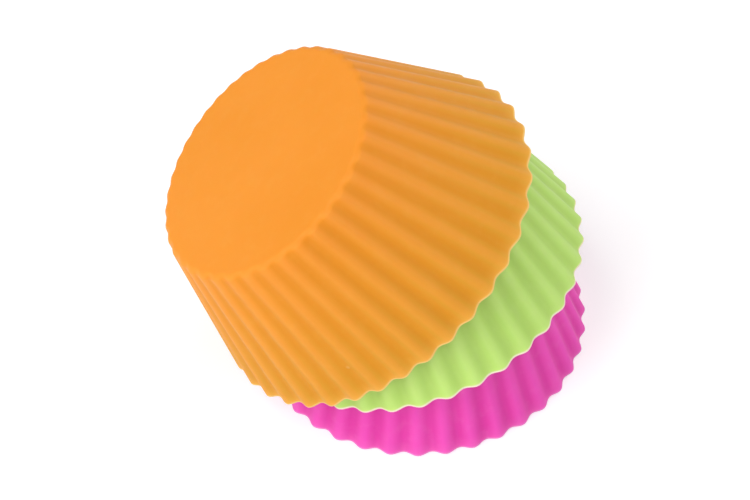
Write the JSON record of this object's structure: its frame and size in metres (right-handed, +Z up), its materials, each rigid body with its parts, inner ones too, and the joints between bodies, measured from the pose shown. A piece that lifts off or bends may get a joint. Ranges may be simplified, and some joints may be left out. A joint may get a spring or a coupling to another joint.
{
  "type": "stack of baking cups",
  "caption": "Soft fluted baking cups with flat bases and thin rims, nested upside down in a leaning stack, for small cakes and muffins.",
  "frame": {"origin": "middle of the whole stack's box in plan, on the surface that the lowest cup stands on", "axes": "+Z up, along the lowest cup's axis; +Y away from the picture's camera; +X to the picture's right, so the stack leans towards -X"},
  "size_m": [0.0802, 0.071, 0.0673],
  "materials": {
    "pink_silicone": "satin, slightly translucent silicone, magenta pink",
    "green_silicone": "satin, slightly translucent silicone, light lime green",
    "orange_silicone": "satin, slightly translucent silicone, warm orange"
  },
  "bodies": {
    "root": {"pink_cup": "pink_silicone", "green_cup": "green_silicone", "orange_cup": "orange_silicone"}
  },
  "joints": []
}
